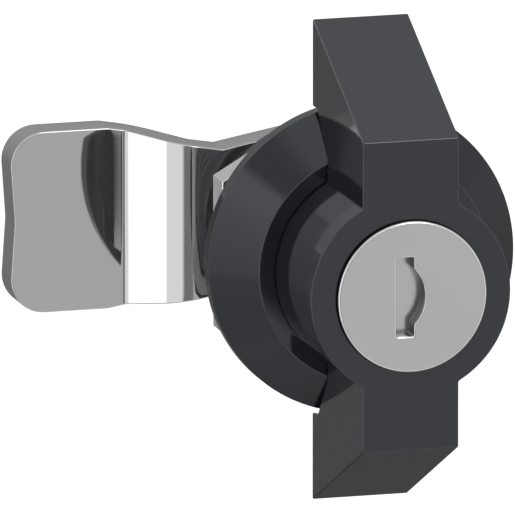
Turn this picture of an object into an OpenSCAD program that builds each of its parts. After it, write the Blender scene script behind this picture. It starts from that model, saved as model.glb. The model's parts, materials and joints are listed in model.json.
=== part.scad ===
// Quarter-turn locking handle for a sheet metal door. A wing handle with a key plug turns a spindle
// in a threaded double-D shank, and the spindle turns a cranked cam behind the door frame's edge.
// X is to the right, Y runs from the user through the door and Z is up. The origin is the centre of
// the rosette's back face, where it lies on the door.

/* [Handle] */
// Overall length of the wing where it is nearest the door
wing_len_back = 49.8; // [46:0.2:56]
// Length of the wing at its front face
wing_len_front = 31.8; // [28:0.2:36]
// Width of the wing
wing_w = 10; // [9:0.1:12]
// Height of the front face above the door
handle_rise = 19.75; // [19:0.05:24]
// Gap between the back of the wing and the door
wing_door_gap = 1.2; // [0.8:0.1:1.6]
// Outer diameter of the round hub
hub_d = 20.8; // [20.4:0.1:21.6]

/* [Rosette] */
// Diameter of the rosette at the door
rosette_d = 32; // [30.5:0.5:36]
// Outer diameter of the flat front ring
rosette_face_d = 24; // [23.4:0.2:26]
// Height of the rosette above the door
rosette_h = 6.4; // [6.2:0.1:7.4]
// Height of the straight rim at the door
rosette_rim = 1.7; // [1.2:0.1:2.4]
// Gap between the handle's back and the rosette's front ring
handle_gap = 0.4; // [0.3:0.05:0.6]
// Gap between the wing's recess and the rosette's rim
recess_gap = 0.55; // [0.4:0.05:1]
// Height of the straight part of the wing's recess
recess_straight = 1.8; // [1:0.1:2.4]

/* [Door seal] */
// Inner diameter of the seal's groove
seal_d = 24.6; // [24:0.1:25]
// Width of the seal's groove
seal_w = 2.2; // [1.6:0.1:2.4]
// Depth of the seal's groove
seal_t = 1; // [0.7:0.1:1.2]

/* [Shank and nut] */
// Diameter over the shank's thread
shank_d = 22; // [21.8:0.1:22.4]
// Width across the shank's two flats
shank_flats = 20.1; // [19.9:0.1:20.4]
// Length of the shank behind the door's face
shank_len = 15.65; // [14:0.05:24]
// Space for the door sheet between rosette and nut
door_space = 2.05; // [2.05:0.05:4]
// Width across the nut's flats
nut_af = 27; // [26:0.5:30]
// Thickness of the nut
nut_t = 3.5; // [3:0.1:5]
// Chamfer at the shank's end
shank_chamfer = 0.85; // [0.5:0.05:1.2]

/* [Bearing and stop] */
// Diameter of the handle's spigot in the housing
spigot_d = 17; // [16.6:0.1:17.2]
// How far the spigot reaches behind the door's face
spigot_reach = 4.2; // [3.8:0.1:5]
// Diameter of the spindle's journal
journal_d = 11.1; // [10.8:0.1:11.4]
// Angle through which the handle turns
turn_angle = 90; // [80:5:95]
// Diameter of the flange that bears on the housing's step
flange_d = 13.8; // [13.2:0.1:14]
// Thickness of the flange and its stop lug
flange_t = 1.8; // [1.4:0.1:2.4]
// Angle that the stop lug takes up
lug_angle = 24; // [16:1:30]

/* [Spindle] */
// Side of the square head in the handle
head_square = 9.9; // [9:0.1:10.2]
// Side of the square that drives the cam
cam_square = 8; // [7.6:0.1:8.2]
// Diameter of the screw in the handle
spindle_screw_d = 4; // [3:0.5:4]
// Thickness of the handle's web under that screw's head
web_t = 1.6; // [1.4:0.1:2]
// Thickness of the thrust washer
thrust_t = 1; // [0.8:0.1:1.5]
// Thickness of the retaining ring
circlip_t = 0.7; // [0.6:0.1:1]

/* [Cam] */
// Distance from the axis to the cam's tip
cam_reach = 30; // [28:0.5:40]
// Thickness of the plate
cam_t = 3.95; // [3:0.05:4.5]
// How far the crank sets the end plate back
cam_crank = 4.7; // [3:0.1:8]
// Distance from the axis to the crank's rear bend
cam_bend_x = 18; // [17:0.1:20]
// Inner radius of the bends
cam_bend_r = 0.9; // [0.6:0.1:1.5]
// Width of the end plate
cam_tip_w = 18.8; // [16:0.2:22]
// Width at the neck
cam_neck_w = 14.8; // [13:0.2:16]
// Distance from the axis to the neck
cam_neck_x = 9; // [8:0.5:10]
// Diameter of the round hub end
cam_hub_d = 18; // [17:0.2:20]
// Radius of the end plate's corners
cam_corner_r = 3.5; // [2:0.1:4.5]
// Depth of the shallow notch in the tip
cam_notch = 0.4; // [0.1:0.1:1]
// Diameter of the cam's screw
cam_screw_d = 6; // [5:0.5:6]
// Width across the flats of that screw's head
cam_screw_af = 10; // [8:0.5:10]
// Thickness of the washer under that head
cam_washer_t = 1.25; // [1:0.05:1.6]

/* [Lock] */
// Diameter of the disc that covers the plug
cap_d = 15.5; // [15.3:0.1:15.7]
// How far the disc stands proud of the handle
cap_rise = 0.65; // [0.4:0.05:1]
// Thickness of the disc
cap_t = 1.75; // [1.5:0.05:1.9]
// Diameter of the key plug
plug_d = 12; // [11.8:0.1:12.4]
// Wall of the sleeve round the plug
sleeve_wall = 1.15; // [1.05:0.05:1.3]
// Width of the key slot
key_w = 1.85; // [1.6:0.05:2]
// Height of the key slot
key_h = 8.1; // [7.6:0.1:8.2]
// Distance of the slot's middle from the axis, to the left
key_offset = 0.775; // [0.6:0.025:0.9]
// How far the round bulge reaches beyond the slot
bulge_w = 1.17; // [0.6:0.01:1.2]
// Height of that bulge
bulge_h = 5.7; // [4:0.1:6.4]
// Number of wafers
wafer_count = 5; // [3:1:6]
// Width of a wafer
wafer_w = 4.8; // [4.4:0.1:4.9]
// How far a wafer springs out of the plug
wafer_travel = 0.6; // [0.4:0.05:0.7]
// Thickness of the shutter
shutter_t = 0.5; // [0.4:0.05:0.6]
// Width of the locking bolt
bolt_w = 5.9; // [5:0.1:6.2]
// Thickness of the locking bolt
bolt_t = 2.6; // [2:0.1:2.8]
// How far the bolt slides out
bolt_throw = 1.5; // [1.2:0.05:1.6]

/* [Fits] */
// Radial clearance where one piece turns or sits in another
run_gap = 0.05; // [0.03:0.01:0.08]
// Clearance around pieces that slide or drive each other
slide_gap = 0.1; // [0.05:0.01:0.15]
// Clearance of pieces that pass but never bear
free_gap = 0.2; // [0.15:0.01:0.3]

/* [Hidden] */
$fn = 96;
over = 1;

slate = [0.235, 0.24, 0.255];
black = [0.06, 0.06, 0.065];
bright = [0.72, 0.72, 0.73];
satin = [0.66, 0.66, 0.66];
zinc = [0.6, 0.61, 0.62];
brass = [0.75, 0.62, 0.32];

// Places along Y in the lock, from the front face back to the spigot's end
y_handle = -handle_rise;
y_cap = y_handle - cap_rise;
y_cap_end = y_cap + cap_t;
y_sleeve = y_cap_end + slide_gap;
y_ring = -rosette_h;
bolt_cover = 1.4;
y_bolt = y_ring + bolt_cover;
y_bolt_end = y_bolt + bolt_t;
y_bolt_slot = y_bolt - slide_gap;
y_bolt_slot_end = y_bolt_end + slide_gap;
tail_wall = 1.1;
clip_room = 1;
y_clip_room_end = y_bolt_slot - tail_wall;
y_sleeve_end = y_clip_room_end - clip_room;
y_plug_end = y_sleeve_end - slide_gap;
y_tail_end = y_bolt - free_gap;

// Places along Y of the spindle and of what it carries
spindle_screw_head_h = 1.2;
spindle_screw_head_d = 7;
spindle_screw_key = 2.5;
spindle_hole_l = 7.3;
y_screw_seat = y_bolt_slot_end + spindle_screw_head_h + slide_gap;
y_socket = y_screw_seat + web_t;
y_spindle = y_socket + slide_gap;
y_flange = spigot_reach + slide_gap;
y_step = y_flange + flange_t + slide_gap;
y_thrust = shank_len + slide_gap;
y_groove = y_thrust + thrust_t + run_gap;
groove_w = circlip_t + 2 * run_gap;
groove_land = 0.3;
groove_depth = 0.65;
groove_d = journal_d - 2 * groove_depth;
circlip_w = 2.05;
circlip_gap = 1.2;
circlip_ear_x = 1.6;
circlip_ear_d = 2.3;
circlip_hole_d = 0.9;
y_cam = y_groove + groove_w + groove_land;
y_cam_end = y_cam + cam_t;
y_square_end = y_cam_end - free_gap;
cam_screw_head_h = 4;
cam_washer_w = 3.05;
cam_hole_l = 9.4;
tap_gap = 0.03;
hole_end_gap = 0.6;
y_screw_head = y_cam_end + cam_washer_t;

// Seal and handle
seal_seat_gap = 0.02;
recess_d = rosette_d + 2 * recess_gap;
recess_mouth_gap = 0.3;
recess_mouth_d = rosette_face_d + 2 * recess_mouth_gap;
y_recess = y_ring - handle_gap;
y_wing_back = -wing_door_gap;
spigot_bore_d = spigot_d + 2 * slide_gap;
o_ring_w = 1.44;
y_o_ring = (y_bolt_slot_end + y_socket) / 2;
o_ring_seat_gap = 0.01;
o_ring_seat_d = spigot_d - 2 * (o_ring_w + o_ring_seat_gap);
sleeve_d = plug_d + 2 * (run_gap + sleeve_wall);
cap_seat_gap = 0.15;
cap_seat_d = cap_d + 2 * cap_seat_gap;
spigot_wall = 1.6;
head_corner_d = spigot_d - 2 * spigot_wall;
clip_room_wall = 0.4;

// Stop: the lug sweeps a window in the housing's rib
stop_clear_angle = 2;
rib_d = flange_d + 2 * free_gap;
lug_d = spigot_bore_d - 2 * free_gap;
rib_from = turn_angle + lug_angle / 2 + stop_clear_angle;
rib_angle = 360 - turn_angle - lug_angle - 2 * stop_clear_angle;

// Eccentric on the plug's tail: it swings evenly about the middle of the bolt's travel
eccentric = bolt_throw / sqrt(2);
eccentric_pin_d = 1.6;
eccentric_pin_gap = 0.5;
tail_d = 6.4;
bolt_edge_gap = 0.15;
bolt_r = spigot_d / 2 - bolt_edge_gap;
bolt_tip_z = spigot_d / 2 - 2 * bolt_edge_gap;
bolt_foot_z = -4.1;
bolt_socket_z = bolt_tip_z + bolt_throw + 2 * bolt_edge_gap;

// Shutter: pivots beside the key slot and swings into the pocket behind the cap
shutter_lap = 0.1;
shutter_h = key_h + 2 * shutter_lap;
shutter_pin_d = 0.6;
shutter_knuckle_d = 1.2;
shutter_pin_reach = 1.05;
pocket_gap = 0.15;
x_key = -key_offset;
x_shutter_pin = x_key - key_w / 2 - shutter_pin_reach;
y_shutter = y_cap_end + run_gap;
y_shutter_pin = y_shutter + shutter_knuckle_d / 2;
x_shutter_tip = x_key + key_w / 2 + bulge_w + 2 * shutter_lap;
shutter_len = x_shutter_tip - x_shutter_pin;
y_pocket_end = y_shutter_pin + norm([shutter_len, shutter_knuckle_d / 2]) + free_gap;
shutter_spring_h = 1.1;
shutter_spring_d = 0.14;
shutter_spring_leg = 2.2;
z_shutter_spring = shutter_h / 2 - shutter_spring_h - slide_gap;

// Lugs that hold the cap on the plug, above and below the shutter's pocket
cap_lug_w = 2.4;
cap_lug_l = 1.2;
cap_lug_x = 0.6;
cap_lug_wall = 0.5;
z_cap_lug = shutter_h / 2 + pocket_gap + cap_lug_wall;
cap_lip = 0.2;

// Wafers: shared out evenly between the pocket and the plug's end
end_wall = 0.6;
wafer_pitch = (y_plug_end - end_wall - y_pocket_end) / wafer_count;
wafer_slot_w = 0.68 * wafer_pitch;
wafer_t = wafer_slot_w - 2 * run_gap;
wafer_half_h = sqrt(pow(plug_d / 2 - slide_gap, 2) - pow(wafer_w / 2, 2));
wafer_lug_w = 1.45;
wafer_lug_h = 0.8;
z_wafer_lug = 0.25;
spring_room_h = 4.1;
spring_wire_d = 0.12;
spring_turns = 6;
key_play = 0.25;
code_step = 0.25;
plug_clip_t = 0.6;
plug_clip_w = 2.1;
plug_clip_depth = 0.5;
y_plug_clip = y_sleeve_end + slide_gap;
function y_wafer(i) = y_pocket_end + (i + 0.5) * wafer_pitch;

// Turned solid about the Y axis from a profile of [radius, y]; angles run from +X towards -Z
module turned(angle = 360, from = 0) {
    rotate([-90, 0, 0]) rotate_extrude(angle = angle, start = from) children();
}

// Solid between two places along Y from an outline in X and Z
module slab(y0, y1) {
    translate([0, y1, 0]) rotate([90, 0, 0]) linear_extrude(y1 - y0) children();
}

// Round hole or pin along Y
module rod(d, y0, y1) {
    translate([0, y0, 0]) rotate([-90, 0, 0]) cylinder(d = d, h = y1 - y0);
}

// Ring along Y
module ring(outer_d, inner_d, y0, y1) {
    difference() {
        rod(outer_d, y0, y1);
        rod(inner_d, y0 - over, y1 + over);
    }
}

// Block from its lowest corner to its highest
module block(low, high) {
    translate(low) cube(high - low);
}

// Square bar along Y with its corners turned down
module square_bar(side, corner_d, y0, y1) {
    slab(y0, y1) intersection() {
        square(side, center = true);
        circle(d = corner_d);
    }
}

// Hexagon bar along Y with its flats at left and right
module hex_bar(af, y0, y1) {
    translate([0, y0, 0]) rotate([-90, 30, 0]) cylinder(d = af / cos(30), h = y1 - y0, $fn = 6);
}

// Points on an arc, from one angle to another
function arc(centre, r, a0, a1, steps = 8) =
    [for (i = [0 : steps]) centre + r * [cos(a0 + (a1 - a0) * i / steps), sin(a0 + (a1 - a0) * i / steps)]];

// Closed tube of the given radius along a list of points
module wire(points, r, sides = 5) {
    count = len(points);
    function along(i) = points[min(i + 1, count - 1)] - points[max(i - 1, 0)];
    function side_of(i) = let (s = cross(along(i), [0.01, 0.02, 1])) s / norm(s);
    function rise_of(i) = let (u = cross(side_of(i), along(i))) u / norm(u);
    corners = [for (i = [0 : count - 1], k = [0 : sides - 1])
        points[i] + r * (cos(360 * k / sides) * side_of(i) + sin(360 * k / sides) * rise_of(i))];
    walls = [for (i = [0 : count - 2], k = [0 : sides - 1], half = [0, 1])
        let (a = i * sides + k, b = i * sides + (k + 1) % sides)
        half == 0 ? [a, b, b + sides] : [a, b + sides, a + sides]];
    polyhedron(corners, concat(
        [[for (k = [sides - 1 : -1 : 0]) k]],
        walls,
        [[for (k = [0 : sides - 1]) (count - 1) * sides + k]]));
}

// Points of a coil along Z
function coil(r, z0, z1, turns, steps) =
    [for (i = [0 : turns * steps])
        [r * cos(360 * i / steps), r * sin(360 * i / steps), z0 + (z1 - z0) * i / (turns * steps)]];

module housing() {
    color(slate) difference() {
        union() {
            turned() polygon([[0, y_ring], [rosette_face_d / 2, y_ring], [rosette_d / 2, -rosette_rim],
                [rosette_d / 2, 0], [0, 0]]);
            intersection() {
                turned() polygon([[0, -over], [shank_d / 2, -over], [shank_d / 2, shank_len - shank_chamfer],
                    [shank_d / 2 - shank_chamfer, shank_len], [0, shank_len]]);
                slab(-2 * over, shank_len + over) square([shank_d + over, shank_flats], center = true);
            }
        }
        rod(spigot_bore_d, y_ring - over, y_flange);
        rod(rib_d, y_flange - over, y_step);
        turned(angle = 360 - rib_angle, from = rib_from + rib_angle - 90)
            polygon([[0, y_flange - over], [spigot_bore_d / 2, y_flange - over],
                [spigot_bore_d / 2, y_step], [0, y_step]]);
        rod(journal_d + 2 * run_gap, y_step - over, shank_len + over);
        for (angle = [0, turn_angle])
            rotate([0, angle, 0])
                block([-bolt_w / 2 - free_gap, y_bolt_slot - slide_gap, 0],
                    [bolt_w / 2 + free_gap, y_bolt_slot_end + slide_gap, bolt_socket_z]);
        ring(seal_d + 2 * seal_w, seal_d, -seal_t, over);
    }
}

module door_seal() {
    color(black) ring(seal_d + 2 * seal_w - 2 * run_gap, seal_d + 2 * run_gap, seal_seat_gap - seal_t, 0);
}

module mounting_nut() {
    color(bright) difference() {
        hex_bar(nut_af, door_space, door_space + nut_t);
        rod(shank_d + 2 * run_gap, 0, door_space + nut_t + over);
    }
}

module wing_blank() {
    translate([-wing_w / 2, 0, 0]) rotate([90, 0, 90]) linear_extrude(wing_w)
        polygon([[y_handle, -wing_len_front / 2], [y_handle, wing_len_front / 2],
            [y_wing_back, wing_len_back / 2], [y_wing_back, -wing_len_back / 2]]);
}

module handle() {
    color(slate) difference() {
        union() {
            difference() {
                union() {
                    wing_blank();
                    rod(hub_d, y_handle, y_recess);
                }
                turned() polygon([[0, y_recess], [recess_mouth_d / 2, y_recess],
                    [recess_d / 2, y_wing_back - recess_straight], [recess_d / 2, over], [0, over]]);
            }
            rod(spigot_d, y_recess - over, spigot_reach);
        }
        rod(cap_seat_d, y_handle - over, y_sleeve);
        rod(sleeve_d + 2 * run_gap, y_sleeve - over, y_sleeve_end);
        rod(plug_d - 2 * clip_room_wall, y_sleeve_end - over, y_clip_room_end);
        rod(tail_d + 2 * free_gap, y_clip_room_end - over, y_bolt_slot + over);
        block([-bolt_w / 2 - slide_gap, y_bolt_slot, bolt_foot_z - free_gap],
            [bolt_w / 2 + slide_gap, y_bolt_slot_end, spigot_d / 2 + over]);
        rod(spindle_screw_head_d + 2 * slide_gap, y_bolt_slot_end - over, y_screw_seat);
        rod(spindle_screw_d + 2 * slide_gap, y_screw_seat - over, y_socket + over);
        square_bar(head_square + 2 * run_gap, head_corner_d + 2 * run_gap, y_socket, spigot_reach + over);
        ring(spigot_d + over, o_ring_seat_d, y_o_ring - o_ring_w / 2 - slide_gap,
            y_o_ring + o_ring_w / 2 + slide_gap);
    }
}

module lock_sleeve() {
    color(zinc) difference() {
        rod(sleeve_d, y_sleeve, y_sleeve_end);
        rod(plug_d + 2 * run_gap, y_sleeve - over, y_sleeve_end + over);
        for (angle = [0, 90])
            rotate([0, angle, 0])
                block([-wafer_w / 2 - free_gap, y_pocket_end, 0],
                    [wafer_w / 2 + free_gap, y_plug_end - end_wall / 2, wafer_half_h + wafer_travel + free_gap]);
    }
}

module spindle() {
    color(zinc) difference() {
        union() {
            square_bar(head_square, head_corner_d, y_spindle, y_flange + over);
            rod(flange_d, y_flange, y_flange + flange_t);
            turned(angle = lug_angle, from = -90 - lug_angle / 2)
                polygon([[flange_d / 2 - over, y_flange], [lug_d / 2, y_flange],
                    [lug_d / 2, y_flange + flange_t], [flange_d / 2 - over, y_flange + flange_t]]);
            rod(journal_d, y_flange, y_cam);
            square_bar(cam_square, journal_d - run_gap, y_cam - over, y_square_end);
        }
        ring(journal_d + over, groove_d, y_groove, y_groove + groove_w);
        rod(spindle_screw_d + 2 * tap_gap, y_spindle - over, y_spindle + spindle_hole_l);
        rod(cam_screw_d + 2 * tap_gap, y_square_end - cam_hole_l, y_square_end + over);
    }
}

module spindle_screw() {
    color(bright) difference() {
        union() {
            rod(spindle_screw_head_d, y_screw_seat - spindle_screw_head_h, y_screw_seat);
            rod(spindle_screw_d, y_screw_seat - spindle_screw_head_h, y_spindle + spindle_hole_l - hole_end_gap);
        }
        hex_bar(spindle_screw_key, y_screw_seat - spindle_screw_head_h - over, y_screw_seat - free_gap);
    }
}

module hub_o_ring() {
    color(black) turned()
        translate([(o_ring_seat_d + o_ring_w + o_ring_seat_gap) / 2, y_o_ring]) circle(d = o_ring_w);
}

module thrust_washer() {
    color(bright) ring(cam_hub_d, journal_d + 2 * slide_gap, y_thrust, y_thrust + thrust_t);
}

module circlip() {
    inner_d = groove_d + 2 * run_gap;
    ring_d = inner_d + 2 * circlip_w;
    color(zinc) slab(y_groove + run_gap, y_groove + run_gap + circlip_t) difference() {
        union() {
            circle(d = ring_d);
            for (side = [-1, 1])
                translate([side * circlip_ear_x, -ring_d / 2]) circle(d = circlip_ear_d);
        }
        circle(d = inner_d);
        translate([0, -ring_d]) square([circlip_gap, 2 * ring_d], center = true);
        for (side = [-1, 1])
            translate([side * circlip_ear_x, -ring_d / 2]) circle(d = circlip_hole_d);
    }
}

// Side view of the cam in X and Y: hub, 45 degree crank and end plate, all of one thickness
function cam_side() =
    let (outer_r = cam_bend_r + cam_t, half = tan(22.5),
        front_bend = [-cam_bend_x + cam_crank + outer_r * half, y_cam + outer_r],
        rear_bend = [-cam_bend_x - cam_bend_r * half, y_cam + cam_crank - cam_bend_r],
        hub_x = cam_hub_d, tip_x = -cam_reach - over)
    concat([[hub_x, y_cam]],
        arc(front_bend, outer_r, 270, 225),
        arc(rear_bend, cam_bend_r, 45, 90),
        [[tip_x, y_cam + cam_crank], [tip_x, y_cam + cam_crank + cam_t]],
        arc(rear_bend, outer_r, 90, 45),
        arc(front_bend, cam_bend_r, 225, 270),
        [[hub_x, y_cam_end]]);

// Upper half of the cam's outline in X and Z, from the tip to the neck's end at the hub
function cam_edge() =
    concat([[-cam_reach + cam_notch, 0]],
        arc([-cam_reach + cam_corner_r, cam_tip_w / 2 - cam_corner_r], cam_corner_r, 180, 90),
        [[-cam_bend_x, cam_tip_w / 2], [-cam_neck_x, cam_neck_w / 2]]);

module cam() {
    edge = cam_edge();
    hub_r = cam_hub_d / 2;
    color(bright) difference() {
        intersection() {
            linear_extrude(2 * cam_tip_w + over, center = true) polygon(cam_side());
            slab(y_cam - over, y_cam_end + cam_crank + over)
                polygon(concat(edge, arc([0, 0], hub_r, 100, -100, 32),
                    [for (i = [len(edge) - 1 : -1 : 1]) [edge[i][0], -edge[i][1]]]));
        }
        slab(y_cam - over, y_cam_end + over) square(cam_square + 2 * run_gap, center = true);
    }
}

module cam_washer() {
    inner_d = cam_screw_d + 2 * free_gap;
    color(zinc) ring(inner_d + 2 * cam_washer_w, inner_d, y_cam_end, y_screw_head);
}

module cam_screw() {
    color(zinc) union() {
        hex_bar(cam_screw_af, y_screw_head, y_screw_head + cam_screw_head_h);
        rod(cam_screw_d, y_square_end - cam_hole_l + hole_end_gap, y_screw_head + over);
    }
}

// Keyhole: a slot with a shallow round bulge on its right
module keyhole() {
    edge_x = x_key + key_w / 2;
    bulge_r = (pow(bulge_h / 2, 2) + pow(bulge_w, 2)) / (2 * bulge_w);
    translate([x_key, 0]) square([key_w, key_h], center = true);
    intersection() {
        translate([edge_x + bulge_w - bulge_r, 0]) circle(r = bulge_r);
        translate([edge_x - over / 4, -bulge_h / 2]) square([bulge_w + over, bulge_h]);
    }
}

// Lugs on the cap's back, or with a gap the notches that they fill in the plug
module cap_lugs(gap) {
    for (side = [-1, 1])
        slab(y_cap_end - gap, y_cap_end + cap_lug_l + gap) intersection() {
            translate([cap_lug_x - cap_lug_w / 2 - gap, side > 0 ? z_cap_lug - gap : -plug_d])
                square([cap_lug_w + 2 * gap, plug_d - z_cap_lug + gap]);
            circle(d = gap > 0 ? 2 * plug_d : plug_d - 2 * slide_gap);
        }
}

module plug_cap() {
    color(satin) difference() {
        union() {
            turned() polygon([[0, y_cap], [cap_d / 2 - cap_lip, y_cap], [cap_d / 2, y_cap + cap_lip],
                [cap_d / 2, y_cap_end], [0, y_cap_end]]);
            cap_lugs(0);
        }
        slab(y_cap - over, y_cap_end + over) keyhole();
    }
}

module key_plug() {
    plug_r = plug_d / 2;
    tail_r = tail_d / 2;
    groove_r = tail_r - plug_clip_depth;
    clip_end = y_plug_clip + plug_clip_t + 2 * run_gap;
    color(brass) difference() {
        union() {
            turned() polygon([[0, y_cap_end], [plug_r, y_cap_end], [plug_r, y_plug_end], [tail_r, y_plug_end],
                [tail_r, y_plug_clip], [groove_r, y_plug_clip], [groove_r, clip_end], [tail_r, clip_end],
                [tail_r, y_tail_end], [0, y_tail_end]]);
            translate([-eccentric * sin(45), 0, -eccentric * cos(45)])
                rod(eccentric_pin_d, y_tail_end - over, y_bolt_end - eccentric_pin_gap);
        }
        cap_lugs(run_gap);
        block([x_shutter_pin - shutter_knuckle_d / 2 - pocket_gap, y_cap, -shutter_h / 2 - pocket_gap],
            [x_shutter_tip + 2 * pocket_gap, y_pocket_end, shutter_h / 2 + pocket_gap]);
        block([x_key - key_w / 2 - slide_gap, y_pocket_end - over, -key_h / 2 - run_gap],
            [x_key + key_w / 2 + slide_gap, y_plug_end - end_wall / 2, key_h / 2 + run_gap]);
        for (i = [0 : wafer_count - 1]) {
            y0 = y_wafer(i) - wafer_slot_w / 2;
            y1 = y_wafer(i) + wafer_slot_w / 2;
            block([-wafer_w / 2 - run_gap, y0, -plug_d], [wafer_w / 2 + run_gap, y1, plug_d]);
            block([0, y0, z_wafer_lug - spring_room_h],
                [wafer_w / 2 + wafer_lug_w + slide_gap, y1, z_wafer_lug + wafer_lug_h + wafer_travel + slide_gap]);
        }
        translate([x_shutter_pin, y_shutter_pin, -plug_d])
            cylinder(d = shutter_pin_d + run_gap, h = 2 * plug_d);
    }
}

module plug_clip() {
    inner_d = tail_d - 2 * plug_clip_depth + run_gap;
    color(zinc) slab(y_plug_clip + run_gap, y_plug_clip + run_gap + plug_clip_t) difference() {
        circle(d = inner_d + 2 * plug_clip_w);
        circle(d = inner_d);
        translate([0, -inner_d]) square([inner_d / 2, 2 * inner_d], center = true);
    }
}

module shutter_pin() {
    reach = sqrt(pow(plug_d / 2, 2) - pow(x_shutter_pin, 2)) - pocket_gap;
    color(bright) translate([x_shutter_pin, y_shutter_pin, -reach]) cylinder(d = shutter_pin_d, h = 2 * reach);
}

module shutter_spring() {
    coil_r = shutter_pin_d / 2 + shutter_spring_d / 2 + slide_gap;
    turns = coil(coil_r, shutter_spring_d, shutter_spring_h - shutter_spring_d, 4, 10);
    end = turns[len(turns) - 1];
    leg = [end + [0, shutter_spring_leg / 8, 0], end + [0, shutter_spring_leg, 0]];
    color(bright) translate([x_shutter_pin, y_shutter_pin, z_shutter_spring])
        wire(concat(turns, leg), shutter_spring_d / 2);
}

module wafer_springs() {
    x_spring = wafer_w / 2 + wafer_lug_w / 2 + run_gap;
    coil_r = (wafer_slot_w - spring_wire_d) / 2 - run_gap;
    color(bright) for (i = [0 : wafer_count - 1])
        translate([x_spring, y_wafer(i), 0])
            wire(coil(coil_r, z_wafer_lug - spring_room_h + spring_wire_d, z_wafer_lug - spring_wire_d,
                spring_turns, 9), spring_wire_d / 2, 4);
}

module keyway_shutter() {
    color(satin) difference() {
        translate([0, 0, -shutter_h / 2]) linear_extrude(shutter_h) difference() {
            union() {
                translate([x_shutter_pin, y_shutter_pin]) circle(d = shutter_knuckle_d);
                translate([x_shutter_pin, y_shutter]) square([shutter_len, shutter_t]);
            }
            translate([x_shutter_pin, y_shutter_pin]) circle(d = shutter_pin_d + 2 * run_gap);
        }
        block([x_shutter_pin - over, y_shutter - over, z_shutter_spring],
            [x_shutter_pin + shutter_knuckle_d / 2 + pocket_gap, y_shutter_pin + over, shutter_h]);
    }
}

// Each wafer's window ends at its own height, as its step of the key asks
module key_wafers() {
    window_w = key_w + 2 * key_play;
    window_h = key_h + 2 * key_play;
    color(brass) for (i = [0 : wafer_count - 1]) {
        code = code_step * ((3 * i + 1) % 4);
        slab(y_wafer(i) - wafer_t / 2, y_wafer(i) + wafer_t / 2) {
            difference() {
                square([wafer_w, 2 * wafer_half_h], center = true);
                translate([x_key - window_w / 2, -window_h / 2 + code]) square([window_w, window_h - code]);
            }
            translate([wafer_w / 2 - key_play, z_wafer_lug]) square([wafer_lug_w + key_play, wafer_lug_h]);
        }
    }
}

module locking_bolt() {
    pin_x = eccentric * cos(45);
    slot_w = eccentric - pin_x + eccentric_pin_d + 2 * free_gap;
    slot_h = eccentric_pin_d + 2 * bolt_edge_gap;
    color(zinc) slab(y_bolt, y_bolt_end) difference() {
        intersection() {
            translate([-bolt_w / 2, bolt_foot_z]) square([bolt_w, bolt_tip_z - bolt_foot_z]);
            circle(r = bolt_r);
        }
        translate([-eccentric - eccentric_pin_d / 2 - free_gap, -pin_x - slot_h / 2]) square([slot_w, slot_h]);
    }
}

housing();
door_seal();
mounting_nut();
handle();
lock_sleeve();
spindle();
spindle_screw();
hub_o_ring();
thrust_washer();
circlip();
cam();
cam_washer();
cam_screw();
plug_cap();
key_plug();
plug_clip();
shutter_pin();
shutter_spring();
wafer_springs();
keyway_shutter();
key_wafers();
locking_bolt();
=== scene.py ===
# %% [markdown]
# # A quarter-turn locking handle
# The object is a moulded wing handle on a round rosette. It is pushed through a sheet metal door, held
# by a thin nut, and turns a cranked steel cam behind the door frame. A key plug under a steel disc
# locks it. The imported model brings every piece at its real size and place, in one frame: X to the
# right, Y through the door and away from the user, Z up, in metres. This lesson dresses that frame:
# it works out the visible surfaces with numpy, gives each one a finish, and lights them.

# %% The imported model
import json

import bmesh
import bpy
import numpy as np
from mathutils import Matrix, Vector

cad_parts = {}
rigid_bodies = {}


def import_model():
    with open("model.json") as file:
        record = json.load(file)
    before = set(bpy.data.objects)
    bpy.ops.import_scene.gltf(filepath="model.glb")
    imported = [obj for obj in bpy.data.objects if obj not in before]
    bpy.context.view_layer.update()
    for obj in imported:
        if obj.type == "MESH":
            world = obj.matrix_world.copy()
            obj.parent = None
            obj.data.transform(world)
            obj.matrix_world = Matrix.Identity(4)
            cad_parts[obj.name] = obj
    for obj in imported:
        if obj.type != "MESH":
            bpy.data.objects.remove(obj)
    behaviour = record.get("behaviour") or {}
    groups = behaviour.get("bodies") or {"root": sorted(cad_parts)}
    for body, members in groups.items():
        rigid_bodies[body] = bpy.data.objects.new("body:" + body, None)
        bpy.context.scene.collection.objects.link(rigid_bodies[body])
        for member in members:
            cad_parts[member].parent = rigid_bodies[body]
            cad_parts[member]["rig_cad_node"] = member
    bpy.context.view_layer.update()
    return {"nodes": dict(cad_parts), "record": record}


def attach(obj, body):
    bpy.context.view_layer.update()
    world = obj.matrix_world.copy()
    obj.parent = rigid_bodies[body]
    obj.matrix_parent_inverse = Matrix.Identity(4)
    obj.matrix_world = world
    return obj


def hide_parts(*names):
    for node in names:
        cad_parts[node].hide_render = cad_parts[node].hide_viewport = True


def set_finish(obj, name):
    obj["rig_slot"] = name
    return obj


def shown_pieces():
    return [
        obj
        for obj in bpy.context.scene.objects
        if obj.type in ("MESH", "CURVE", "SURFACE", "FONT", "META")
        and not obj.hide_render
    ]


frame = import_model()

MM = 0.001
print("nodes:", len(frame["nodes"]))

# %% [markdown]
# ## The camera
# The picture was taken with hardly any perspective, from 15.8 degrees to the left and 12.7 degrees
# above. An orthographic camera would do for this view alone, but a very long lens far away looks the
# same and still frames the object from every other side, so the camera is a long lens.

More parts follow.
